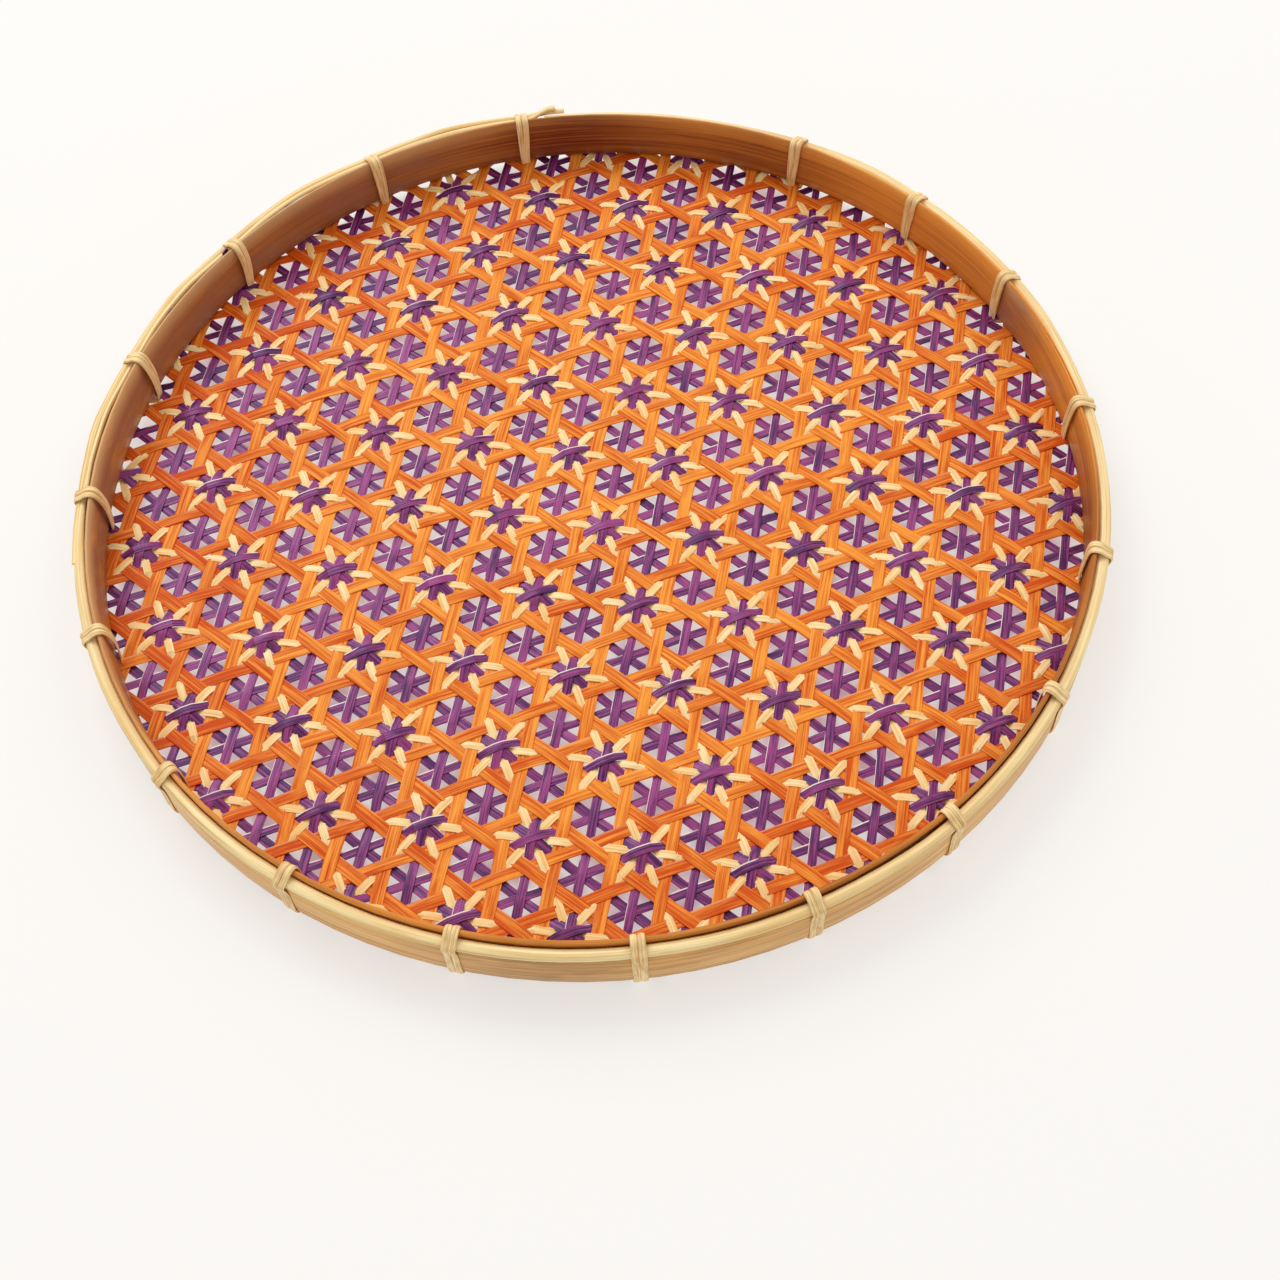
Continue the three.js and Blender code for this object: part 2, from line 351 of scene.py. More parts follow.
def times(first, second):
    """Multiplies in the tree of its first socket, as the next four also take their tree."""
    return add_node(first.id_data, "ShaderNodeMath", {0: first, 1: second},
                    operation="MULTIPLY").outputs[0]


def scaled(value, gain, plus=0.0):
    return add_node(value.id_data, "ShaderNodeMath", {0: value, 1: gain, 2: plus},
                    operation="MULTIPLY_ADD").outputs[0]


def ramp(value, low, high, first=0.0, last=1.0):
    """Runs from first to last while the value runs from low to high."""
    return add_node(value.id_data, "ShaderNodeMapRange", {
        "Value": value, "From Min": low, "From Max": high, "To Min": first, "To Max": last,
    }).outputs["Result"]


def blend(factor, first, second):
    return add_node(factor.id_data, "ShaderNodeMix", {"Factor": factor, 6: first, 7: second},
                    data_type="RGBA").outputs[2]


def relief(height, strength, depth):
    return add_node(height.id_data, "ShaderNodeBump", {
        "Height": height, "Strength": strength, "Distance": depth}).outputs["Normal"]


WORN_LIP = "DDB078"  # bamboo below a skin that hands have rubbed away
RAW_EDGE = "F2E6D8"  # bamboo that the dye didn't reach


def fibre_material(name, pale, deep, line, fibre_mm, run_mm, rough, bump_mm, contrast=1.0,
                   tone_shift=0.35, line_share=0.5, pale_edge=0.0, pale_lip=0.0, wear_tint=None,
                   specular=0.4, sheen="FFFFFF"):
    """Split bamboo or rattan: long parallel fibres that can be felt with a nail.

    fibre_mm is the spacing of the fibre bundles across the grain and run_mm how long a
    bundle keeps its colour along it. Single dark vessels run among them in the line colour.
    """
    material, tree = new_tree(name)
    grain = add_node(tree, "ShaderNodeUVMap", uv_map="Grain").outputs["UV"]

    def streaks(width_mm, long_mm, detail, distortion=0.0):
        place = add_node(tree, "ShaderNodeMapping", {
            "Vector": grain, "Scale": (1 / long_mm, 1 / width_mm, 1)})
        return add_node(tree, "ShaderNodeTexNoise", {
            "Vector": place.outputs["Vector"], "Scale": 1.0, "Detail": detail,
            "Roughness": 0.6, "Distortion": distortion}, noise_dimensions="2D").outputs["Fac"]

    bundle = streaks(fibre_mm, run_mm, 2.0)
    fine = streaks(fibre_mm * 0.3, run_mm * 0.6, 2.0)
    blotch = streaks(fibre_mm * 4, run_mm * 0.5, 3.0, 0.4)

    # Bundles, single fibres, blotches and the tone attribute add up to a depth of colour. tone is the
    # piece's own shade, and on some pieces painted shade too.
    depth = scaled(bundle, 2.4 * contrast, 0.45 - 1.2 * contrast)
    for layer, gain in ((fine, 1.0), (blotch, 1.5)):
        depth = scaled(layer, gain * contrast, scaled(depth, 1.0, -0.5 * gain * contrast))
    depth = scaled(attribute(tree, "tone"), tone_shift, depth)
    if pale_lip:
        # Painted light: a hoop's upper edge is painted paler than its foot, as more light falls there;
        # handling pales it too.
        depth = scaled(ramp(attribute(tree, "edge"), 0.35, 1.0), -0.3, depth)
    body = blend(ramp(depth, 0.0, 1.0), tuple(pale), tuple(deep))
    vessel = ramp(streaks(fibre_mm * 0.55, run_mm * 1.5, 1.0), 0.60, 0.68)
    body = blend(scaled(vessel, line_share), body, linear(line))

    if wear_tint:
        stain = times(streaks(7.0, 24.0, 2.0, 0.5), attribute(tree, "wear"))
        body = blend(scaled(ramp(stain, 0.08, 0.45), 0.9), body, linear(wear_tint))
    if pale_lip:
        # The lip is palest where hands have worn the skin away.
        lip = times(ramp(attribute(tree, "edge"), 0.3, 0.95), attribute(tree, "wear"))
        body = blend(scaled(lip, pale_lip), body, linear(WORN_LIP))
    if pale_edge:
        # The dye doesn't reach the split side, so the strip's raw edge shows pale in places.
        patch = ramp(streaks(6.0, 26.0, 1.0), 0.49, 0.54)
        raw = times(ramp(attribute(tree, "edge"), 0.68, 0.76), patch)
        body = blend(scaled(raw, pale_edge), body, linear(RAW_EDGE))

    cover(tree, {
        "Base Color": body,
        "Roughness": ramp(bundle, 0.3, 0.7, rough - 0.08, rough + 0.12),
        "Normal": relief(scaled(fine, 0.5, bundle), 0.8, bump_mm * MM),
        "IOR": 1.5, "Specular IOR Level": specular, "Specular Tint": linear(sheen)})
    return material


PAPER_GLOW = 0.63  # the share of the paper's brightness that is painted glow, thinning the shadows on it
PAPER_DIFFUSE = 0.37  # and the share that it takes from the room
MAT_SHADOW_TINT = "CDACB2"  # painted shadow below the mat: the paper's glow there, dimmed and tinted with the strips' colour as painted bounce light


def paper_material(name, tint):
    """A sheet of matt paper, nearly white, with a painted glow that thins the shadows on it.

    Below the mat the glow is dimmed in patches as painted shadow, and tinted as painted light that came
    through the strips.
    """
    material, tree = new_tree(name)
    place = add_node(tree, "ShaderNodeTexCoord").outputs["Object"]
    tooth = add_node(tree, "ShaderNodeTexNoise", {
        "Vector": place, "Scale": 320.0, "Detail": 3.0, "Roughness": 0.6}).outputs["Fac"]
    patches = add_node(tree, "ShaderNodeTexNoise", {
        "Vector": place, "Scale": 90.0, "Detail": 1.0}).outputs["Fac"]
    from_middle = add_node(tree, "ShaderNodeVectorMath", {0: place}, operation="LENGTH").outputs["Value"]

    # The painted shadow ends below the rim, and is thin in the middle, where the tray stands open.
    below_mat = ramp(from_middle, 160 * MM, 172 * MM, 1.0, 0.0)
    mat_shadow = times(ramp(patches, 0.36, 0.62, 1.0, 0.15),
                    ramp(from_middle, 20 * MM, 90 * MM, 0.2, 1.0))
    cover(tree, {
        "Base Color": tuple(PAPER_DIFFUSE * c for c in tint[:3]) + (1.0,),
        "Roughness": 0.9, "Specular IOR Level": 0.1,
        "Normal": relief(tooth, 0.15, 0.2 * MM),
        "Emission Color": blend(times(below_mat, mat_shadow), tuple(tint), linear(MAT_SHADOW_TINT)),
        "Emission Strength": PAPER_GLOW})
    return material


# Each finish: its settings group and colour there, its vessels' colour, the spacing and the length
# of its fibre bundles in mm, its roughness, the height of its relief in mm, and what else it shows.
FINISHES = {
    # Warm and nearly matt; some strips took much more of the dye than others.
    "dyed_bamboo_orange": ("basket_weave", "orange", "B4480F", 0.8, 34, 0.5, 0.05, dict(
        contrast=0.85, tone_shift=0.22, line_share=0.3, pale_edge=0.15, specular=0.15)),
    # Dark and a little shiny, with thin white lines where a raw edge catches the eye.
    "dyed_bamboo_purple": ("basket_weave", "purple", "2A0828", 0.7, 22, 0.38, 0.08, dict(
        contrast=1.2, pale_edge=1.0, specular=0.52, sheen="CDC6FF")),
    # Pale and dry, with faint tan fibres.
    "raw_bamboo_cream": ("basket_weave", "cream", "D99E4E", 0.7, 26, 0.55, 0.04, dict(
        contrast=0.8, tone_shift=0.2, line_share=0.35, specular=0.25)),
    # Smooth amber skin, stained and pale at the lip on the side that hands hold, with painted light along
    # its upper edge.
    "bamboo_inner_hoop": ("basket_rim", "inner", "6A3014", 0.8, 110, 0.4, 0.03, dict(
        contrast=0.32, tone_shift=0.8, line_share=0.15, pale_lip=0.8, wear_tint="A0694A",
        specular=0.28)),
    # Straw-coloured skin with long brown fibres and a few duller places.
    "bamboo_outer_hoop": ("basket_rim", "outer", "8A5A2C", 1.1, 90, 0.38, 0.04, dict(
        contrast=0.6, line_share=0.3, wear_tint="8A6A44", specular=0.25)),
    # The palest of the rim's pieces, smooth and faintly glossy.
    "peeled_cane": ("basket_rim", "cane", "A87038", 0.7, 60, 0.36, 0.05, dict(
        contrast=0.8, line_share=0.3)),
    # Cream with short tan flecks along the strand.
    "split_rattan": ("basket_rim", "rattan", "B88A50", 0.6, 14, 0.45, 0.06, {}),
}


def finish(name):
    """Each finish is made once and shared."""
    group, shade, *fibres, more = FINISHES[name]
    settings = getattr(bpy.context.scene, group)
    return bpy.data.materials.get(name) or fibre_material(
        name, getattr(settings, shade), getattr(settings, shade + "_deep"), *fibres, **more)


# ---- The weave ----

# Heights in the weave, in strip thicknesses from the orange mat's middle.
ORANGE_CROSSING = 0.62  # an orange strip over or under another
ORANGE_OVER = {("a", "c"), ("b", "a"), ("c", "b")}  # the first of each pair lies on top
PURPLE_OPEN = {"a": -0.7, "b": -1.75, "c": -2.8}  # at the middle of a plain hexagon
PURPLE_FLOWER = {"c": 2.65, "a": 3.65, "b": 4.65}  # at the middle of a flower
PURPLE_UNDER = -1.75  # below an orange crossing
PURPLE_UNDER_CREAM = -2.8
CREAM_OVER = 1.25  # a petal, over the edge of its hexagon
CREAM_CUP = 0.75  # how much sooner a petal's edges dive than its middle, per unit across
CREAM_UNDER = -1.75
CREAM_FLOWER = {"a": -2.1, "b": -1.1, "c": -0.1}

STRIP_FINISH = {
    "orange": "dyed_bamboo_orange", "purple": "dyed_bamboo_purple", "cream": "raw_bamboo_cream"}
ORANGE_TONE = {"a": -0.35, "b": 0.35, "c": 0.1}  # which way each orange set leans in its shade
DEEPER_FROM = 100 * MM  # strips deepen in shade from this far out
DEEPER_RUN = 60 * MM
WALL_SHADE_FROM = -75 * MM  # beyond this line, under the worn side of the rim, the orange strips get painted shade for the wall's shadow
FOLD_RADIUS = {"purple": 171.1 * MM, "orange": 171.6 * MM, "cream": 172.1 * MM}
FOLD_BEND = 1.2 * MM  # radius of the fold where a strip turns up between the hoops
SQUEEZE_START = 159 * MM  # from here out the weave flattens to pass below the inner hoop
SQUEEZE_RUN = 8 * MM
WEAVE_REACH = 164.5 * MM  # a strip whose outer edge runs closer to the rim than this is left out


def unit(degrees):
    return np.array([math.cos(math.radians(degrees)), math.sin(math.radians(degrees))])


class Lattice:
    """Where the hexagons lie, and which of them hold a flower."""

    def __init__(self):
        weave = bpy.context.scene.basket_weave
        self.pitch = weave.hex_spacing
        self.row = self.pitch * math.sqrt(3) / 2
        self.flower = np.array([weave.flower_x, weave.flower_y])
        lean = weave.skew
        self.stretch = np.array([[1 + 0.3 * lean, lean], [lean, 1 - 0.3 * lean]])
        self.basis = np.stack([unit(30), unit(90)], axis=1) * self.pitch

    def is_flower(self, point):
        """True at a flower's centre. A third of all hexagons hold one."""
        i, j = np.round(np.linalg.solve(self.basis, point)).astype(int)
        return (i - j) % 3 == 0

    def to_tray(self, points):
        return points @ self.stretch.T + self.flower


class Strip:
    """One strip: its line in the weave, and the surface that it lies in."""

    def __init__(self, lattice, colour_name, letter, index):
        self.lattice = lattice
        self.colour_name = colour_name
        self.letter = letter
        self.index = index
        self.width = getattr(bpy.context.scene.basket_weave, colour_name + "_width")
        turn = 90 if colour_name == "cream" else 0
        self.along = unit(DIRECTIONS[letter] + turn)
        self.normal = np.array([-self.along[1], self.along[0]])
        self.heading = lattice.stretch @ self.along
        self.across = {
            "orange": (index + 0.5) * lattice.row,
            "purple": index * lattice.row,
            "cream": index * 1.5 * lattice.pitch,
        }[colour_name]
        stops = getattr(self, colour_name + "_stops")(lattice)
        self.stops = sorted(stop for stop in stops if abs(stop[0]) < 1.1 * RIM_RADIUS)

    def key(self, salt):
        """The strip's own seed for random numbers, the same every time."""
        return [len(self.colour_name), ord(self.letter), self.index + salt]

    def spot(self, s):
        """One place on the strip's line, in the tray."""
        return self.lattice.to_tray(np.outer([s], self.along) + self.across * self.normal)[0]

    # A stop is a place along the strip, its height there in thicknesses, and how far it stays level.

    def orange_stops(self, lattice):
        """An orange strip crosses the other two orange directions in turn."""
        for other in LETTERS.replace(self.letter, ""):
            direction = unit(DIRECTIONS[other])
            normal = np.array([-direction[1], direction[0]])
            over = (self.letter, other) in ORANGE_OVER
            height = ORANGE_CROSSING if over else -ORANGE_CROSSING
            for k in range(-24, 24):
                s = ((k + 0.5) * lattice.row - self.across * self.normal @ normal) / (self.along @ normal)
                yield s, height, 2.3 * MM

    def purple_stops(self, lattice):
        """A purple strip passes hexagon centres, and under an orange crossing between them."""
        for k in range(-14, 14):
            s = (k + 0.5 * (self.index % 2)) * lattice.pitch
            if lattice.is_flower(s * self.along + self.across * self.normal):
                yield s, PURPLE_FLOWER[self.letter], 2.3 * MM
            else:
                yield s, PURPLE_OPEN[self.letter], 1.6 * MM
            at = s + lattice.pitch / 2
            beside = at * self.along + self.across * self.normal + lattice.row * self.normal
            under_cream = lattice.is_flower(beside)
            yield at, PURPLE_UNDER_CREAM if under_cream else PURPLE_UNDER, 2.4 * MM

    def cream_stops(self, lattice):
        """A cream strip dips under a flower, rises over its edge and dives below a crossing."""
        step = math.sqrt(3) * lattice.pitch
        for k in range(-9, 9):
            s = (k + 0.5 * (self.index % 2)) * step
            yield s, CREAM_FLOWER[self.letter], 2.6 * MM
            yield s - step / 4, CREAM_OVER, 2.6 * MM
            yield s + step / 4, CREAM_OVER, 2.6 * MM
            yield s + step / 2, CREAM_UNDER, 4.5 * MM

    def cupped(self, s, across):
        """Where along a cream strip to read the height, so that its edges dive first."""
        step = math.sqrt(3) * self.lattice.pitch
        from_flower = s - 0.5 * (self.index % 2) * step
        from_flower = from_flower - step * np.round(from_flower / step)
        past_petal = smooth((np.abs(from_flower) - step / 4) / (2.0 * MM))
        return s + np.sign(from_flower) * past_petal * CREAM_CUP * np.abs(across)

    def fold(self, across, sign):
        """Where the strip's line, this far across it, meets the circle of the fold."""
        start = self.lattice.to_tray(np.outer(self.across + across, self.normal))
        b = start @ self.heading
        c = (start ** 2).sum(1) - FOLD_RADIUS[self.colour_name] ** 2
        a = self.heading @ self.heading
        return (-b + sign * np.sqrt(np.maximum(b * b - a * c, 0))) / a

    def place(self, s, across, through):
        """s runs from minus to plus; past either fold it climbs between the hoops."""
        weave = bpy.context.scene.basket_weave
        low, high = self.fold(across, -1), self.fold(across, 1)
        held = np.clip(s, low, high)
        past = np.maximum(s - high, low - s)
        stray = wander(s / (2 * RIM_RADIUS) + 0.5, self.key(200), (2, 5, 9), 0.22 * MM)
        stray = stray * smooth((RIM_RADIUS - np.abs(s)) / (30 * MM))
        flat = self.lattice.to_tray(
            np.outer(held, self.along) + np.outer(self.across + (across + stray), self.normal))
        read = self.cupped(held, across) if self.colour_name == "cream" else held
        level = weave.level + between(read, self.stops) * weave.thickness
        spread = np.linalg.norm(flat, axis=1)
        ceiling = INNER_BOTTOM - 0.75 * weave.thickness
        squeeze = smooth((spread - SQUEEZE_START) / SQUEEZE_RUN)
        level = np.where(level > ceiling, level + (ceiling - level) * squeeze, level)
        # The fold: a quarter turn, then straight up, leaning as far as the strip came in aslant.
        outward = flat / np.maximum(spread, 1e-9)[:, None]
        heading = self.heading / np.linalg.norm(self.heading)
        steep = np.abs(outward @ heading)
        side = np.stack([-outward[:, 1], outward[:, 0]], axis=1)
        drift = side @ heading * np.where(s > 0, 1, -1)
        climb = np.maximum(past, 0)
        angle = np.clip(climb * steep / FOLD_BEND, 0, math.pi / 2)
        rise = FOLD_BEND * (1 - np.cos(angle)) + np.maximum(climb * steep - FOLD_BEND * math.pi / 2, 0)
        ring_angle = np.arctan2(flat[:, 1], flat[:, 0]) + drift * climb / FOLD_RADIUS[self.colour_name]
        stand = spread + FOLD_BEND * np.sin(angle) - np.sin(angle) * through
        x = np.where(past > 0, stand * np.cos(ring_angle), flat[:, 0])
        y = np.where(past > 0, stand * np.sin(ring_angle), flat[:, 1])
        z = level + np.where(past > 0, rise + np.cos(angle) * through, through)
        return np.stack([x, y, z], axis=1)

    def shade(self, line):
        """The strip's shade along a line on it: how well it took its dye, deeper towards the rim, and on
        orange strips painted shade beyond a line on the left, under the rim's wall.
        """
        orange = self.colour_name == "orange"
        lean = ORANGE_TONE[self.letter] if orange else 0.0
        own = float(np.clip(np.random.default_rng(self.key(50)).normal(lean, 0.5), -1.2, 1.2))

        def tone(t):
            spot = line(t, 0 * t, 0 * t)
            toward_rim = smooth((np.hypot(spot[:, 0], spot[:, 1]) - DEEPER_FROM) / DEEPER_RUN)
            if not orange:
                return own + 0.3 * toward_rim
            # Painted shade: orange strips beyond the line are painted deeper, for the shadow of the rim's
            # left wall.
            return own + 0.8 * toward_rim + 0.9 * smooth((WALL_SHADE_FROM - spot[:, 0]) / DEEPER_RUN)

        return tone


def strips_of(colour_name, letter):
    """The strips of one set that fit inside the tray."""
    lattice = Lattice()
    spacing = 1.5 * lattice.pitch if colour_name == "cream" else lattice.row
    count = int(RIM_RADIUS / spacing) + 2
    strips = []
    for index in range(-count, count + 1):
        strip = Strip(lattice, colour_name, letter, index)
        middle, heading = strip.spot(0.0), strip.heading
        away = abs(middle[0] * heading[1] - middle[1] * heading[0]) / np.linalg.norm(heading)
        if away + strip.width / 2 < WEAVE_REACH:
            strips.append(strip)
    return strips


TUCK = 1.5 * MM  # how far a woven strip runs past its folds, to meet its turned-up ends


def weave_set(colour_name, letter):
    """Weaves all the strips of one colour that run in one direction."""
    thickness = bpy.context.scene.basket_weave.thickness
    ring_spacing = 0.75 * MM if colour_name == "cream" else 1.4 * MM
    parts = []
    for strip in strips_of(colour_name, letter):
        start = strip.fold(np.zeros(1), -1)[0] - TUCK
        end = strip.fold(np.zeros(1), 1)[0] + TUCK
        draw = np.random.default_rng([7, *strip.key(90)])
        own_width = strip.width * (1 + draw.normal(0, 0.045))

        # The rod is made before the next strip, so the path may read this strip's own values.
        def path(t, across, through):
            return strip.place(start + (end - start) * t, across, through)

        parts.append(rod_along(
            path, flat_section(own_width, thickness, 0.1 * thickness),
            max(24, int((end - start) / ring_spacing)), grain_start=17.0 * strip.index + 400,
            tone=strip.shade(path), raw_edge=1.0 if letter == "b" else 0.83))
    return join(parts, f"woven_{colour_name}_{letter}", 25)


class ColourWeaver:
    """Weaves one colour's strips in their three directions, a piece for each."""

    def execute(self, context):
        colour_name = self.colour_name
        for letter in LETTERS:
            piece = weave_set(colour_name, letter)
            hand_over(piece, finish(STRIP_FINISH[colour_name]), f"{colour_name}_strip",
                      f"{colour_name}_strips_{letter}")
        return {"FINISHED"}


class BASKET_OT_weave_orange(ColourWeaver, bpy.types.Operator):
    """Weave the orange strips of the open hexagons"""

    bl_idname = "basket.weave_orange"
    bl_label = "Weave orange strips"
    colour_name = "orange"


class BASKET_OT_weave_purple(ColourWeaver, bpy.types.Operator):
    """Weave the purple strips that fill the hexagons and arch over the flowers"""

    bl_idname = "basket.weave_purple"
    bl_label = "Weave purple strips"
    colour_name = "purple"


class BASKET_OT_weave_cream(ColourWeaver, bpy.types.Operator):
    """Weave the cream strips that make the petals"""

    bl_idname = "basket.weave_cream"
    bl_label = "Weave cream strips"
    colour_name = "cream"


# ---- Turned-up ends ----

ENDS_TOP = OUTER_TOP - 0.3 * MM
LONGEST_END = 26 * MM  # the most that a slanting end runs along itself
END_START = 1.6 * MM  # the ends begin this far past the fold, just clear of the woven strips
# How far the ends stand above the outer hoop round the rim, as (degrees, mm), and how much of
# that each colour reaches.
TALL_ENDS = [(0, 0.0), (132, 0.0), (140, 3.2), (166, 3.2), (174, 1.0), (185, 0.0), (360, 0.0)]
TALL_SHARE = {"purple": 1.0, "orange": 0.45, "cream": 0.25}


def two_ends(strip):
    """A strip's two ends, trimmed raggedly."""
    weave = bpy.context.scene.basket_weave
    shape = flat_section(strip.width, weave.thickness, 0)
    ends = []
    for sign in (-1, 1):
        root = strip.fold(np.zeros(1), sign)[0]
        draw = np.random.default_rng([11, *strip.key(70), sign + 1])
        spot, heading = strip.spot(root), strip.heading
        steep = abs(spot @ heading) / np.linalg.norm(spot) / np.linalg.norm(heading)
        around = math.degrees(math.atan2(spot[1], spot[0])) % 360
        extra = TALL_SHARE[strip.colour_name] * between(around, TALL_ENDS)
        climb = (ENDS_TOP - weave.level + (extra - draw.uniform(0.2, 2.6)) * MM) / max(steep, 0.3)
        climb = min(climb, LONGEST_END)
        ragged = draw.uniform(-0.5, 0.5, len(shape)) * MM

        def path(t, across, through):
            side = np.round((across / max(np.abs(across).max(), 1e-9) + 1) * 2).astype(int)
            out = END_START + t * climb + ragged[side] * (t > 0.99)
            return strip.place(root + sign * out, across, through)

        ends.append(rod_along(path, shape, 5, grain_start=23.0 * strip.index + 900,
                              tone=float(draw.uniform(0.2, 1.0))))
    return ends


class BASKET_OT_turn_up_ends(bpy.types.Operator):
    """Stand the trimmed ends of all the strips between the two hoops"""

    bl_idname = "basket.turn_up_ends"
    bl_label = "Turn up the strip ends"

    def execute(self, context):
        groups = []
        for colour_name, finish_name in STRIP_FINISH.items():
            ends = [two_ends(strip) for letter in LETTERS for strip in strips_of(colour_name, letter)]
            group = join(sum(ends, []), f"ends_{colour_name}")
            coat(group, finish(finish_name))
            groups.append(group)
        piece = merge(groups)
        piece.name = piece.data.name = "turned_up_ends"
        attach(piece, "root")
        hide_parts("strip_ends")
        return {"FINISHED"}


# ---- Hoops ----

HOOP_THIN_END = 0.08  # a hoop's end is shaved to this share of the wall
HOOP_STEPS = 540


def hoop_section(height, edge):
    """A tall flat strip with rounded edges: height along it, depth as a share of the wall."""
    half = height / 2
    side = [(-half + edge, 0.5), (-0.5 * half, 0.5), (0, 0.5), (0.5 * half, 0.5), (half - edge, 0.5),
            (half - 0.3 * edge, 0.36), (half, 0.12), (half, -0.12), (half - edge, -0.5),
            (0.5 * half, -0.5), (0, -0.5), (-0.5 * half, -0.5), (-half + edge, -0.5),
            (-half, -0.2), (-half, 0.2), (-half + 0.3 * edge, 0.4)]
    return np.array(side)


def bend_hoop(name, inside, wall, bottom, top, lean, start_degrees, overlap_degrees, seed, bow, shades,
              dull):
    """Bends a wide strip to a hoop whose thinned ends lap over each other.

    The end that is laid last lies on the inside, and its skin is worn there. bow is how far the
    wall's middle stands in from its edges; shades and dull are knots round the rim in degrees,
    shades of the colour's depth and dull of wear. On the inner hoop the shades are partly painted
    light and shade.
    """
    height = top - bottom
    overlap = math.radians(overlap_degrees)
    start = math.radians(start_degrees)
    turn = 2 * math.pi + overlap

    def path(t, across, depth):
        angle = start + turn * t
        first = np.clip(turn * t / overlap, 0, 1)
        last = np.clip(turn * (1 - t) / overlap, 0, 1)
        thick = 1 - 2 * HOOP_THIN_END
        share = np.minimum(HOOP_THIN_END + thick * first, HOOP_THIN_END + thick * last)
        share = np.where((first < 1) | (last < 1), share, 1.0)
        # The first end keeps to the outside of the wall and the last end to the inside.
        centre = np.where(first < 1, 1 - share / 2, np.where(last < 1, share / 2, 0.5))
        rise = across / height + 0.5
        stray = wander(angle / (2 * math.pi), seed, (2, 3, 7), 0.12 * MM)
        radius = inside + wall * centre + lean * rise + stray - bow * (1 - (2 * rise - 1) ** 2)
        radius = radius + depth * wall * share
        wave = wander(angle / (2 * math.pi), seed + 1, (3, 5, 11), 0.12 * MM) * smooth(rise)
        z = (top + bottom) / 2 + across + wave
        return np.stack([radius * np.cos(angle), radius * np.sin(angle), z], axis=1)

    def wear(t):
        end = smooth(1 - (1 - t) * turn / (0.6 * overlap))
        return np.maximum(end, between(np.degrees(start + turn * t), dull))

    # Colour depth round the rim: the knots, which on the inner hoop partly paint its light and shade, and
    # a random stray.
    def shade(t):
        return between(np.degrees(start + turn * t), shades) + wander(t, seed + 3, (5, 13), 0.15)

    hoop = rod_along(path, hoop_section(height, 0.7 * MM), HOOP_STEPS, grain_start=40.0 * seed,
                     tone=shade, wear=wear, raw_edge=1.0)
    return join([hoop], name)


class BASKET_OT_bend_hoops(bpy.types.Operator):
    """Bend the inner and the outer hoop from wide split bamboo"""

    bl_idname = "basket.bend_hoops"
    bl_label = "Bend the hoops"

    def execute(self, context):
        rim = context.scene.basket_rim
        inner_inside = INNER_TOP_OUTSIDE - rim.lean - rim.inner_wall
        inner = bend_hoop(
            "inner_hoop_strip", inner_inside, rim.inner_wall, INNER_BOTTOM, INNER_TOP, lean=rim.lean,
            start_degrees=17.0, overlap_degrees=21.0, seed=3, bow=0.25 * MM,
            # The inner hoop's shades are partly painted light and shade round its wall, partly its own
            # tone.
            shades=[(17, -0.3), (60, -0.4), (82, 0.2), (105, 0.6), (135, 0.15), (155, 0.0), (180, -0.2),
                    (215, -0.1), (300, 0.1), (345, 0.4), (358, 0.35), (374, -0.1), (385, -0.35),
                    (398, -0.2)],
            dull=[(17, 0.0), (105, 0.1), (130, 0.7), (195, 0.9), (220, 0.3), (250, 0.0), (398, 0.0)])
        hand_over(inner, finish("bamboo_inner_hoop"), "inner_bamboo", "inner_hoop")
        outer = bend_hoop(
            "outer_hoop_strip", RIM_RADIUS - rim.outer_wall, rim.outer_wall, OUTER_BOTTOM, OUTER_TOP,
            lean=0.0, start_degrees=212.0, overlap_degrees=18.0, seed=5, bow=-0.25 * MM,
            shades=[(212, -0.2), (250, 0.0), (290, 0.1), (330, -0.2), (400, 0.1), (500, 0.3), (590, 0.0)],
            dull=[(212, 0.2), (255, 0.1), (275, 0.45), (290, 0.2), (590, 0.2)])
        hand_over(outer, finish("bamboo_outer_hoop"), "outer_bamboo", "outer_hoop")
        return {"FINISHED"}


# ---- Rim cane and splints ----

CANE_SIDES = 12
TIP_SPRING = 108.3  # degrees round the rim where the splints' cut tips start to spring out
TIP_RUN = 3.2  # and how many degrees on they have sprung all the way


def lay_along_rim(name, start_degrees, end_degrees, steps, radius_at, width_at, height_at, lift_at,
                  seed, tone=0.0, wear=None):
    """Lays a half-round strip along the rim; each size is a function of the angle in degrees."""

    def degrees(t):
        return start_degrees + (end_degrees - start_degrees) * t

    def scale(t):
        return width_at(degrees(t)), height_at(degrees(t))

    def path(t, across, through):
        at = degrees(t)
        angle = np.radians(at)
        radius = radius_at(at) + wander(t, seed, (5, 9, 14), 0.1 * MM) + across
        z = lift_at(at) + wander(t, seed + 1, (4, 9), 0.08 * MM) + through
        return np.stack([radius * np.cos(angle), radius * np.sin(angle), z], axis=1)

    strip = rod_along(path, half_round_section(1.0, 1.0, CANE_SIDES), steps, scale,
                      grain_start=60.0 * seed, tone=tone, wear=wear)
    return join([strip], name)


def swell(degrees):
    """Rises from 0 at each lashing to 1 midway to the next, as loose splints bulge there."""
    tied = np.sort(np.degrees([lashing_angle(name) for name in LASHINGS]) % 360)
    tied = np.concatenate([tied[-1:] - 360, tied, tied[:1] + 360])
    right = np.clip(np.searchsorted(tied, degrees), 1, len(tied) - 1)
    part = (degrees - tied[right - 1]) / (tied[right] - tied[right - 1])
    return np.sin(math.pi * np.clip(part, 0, 1)) ** 2


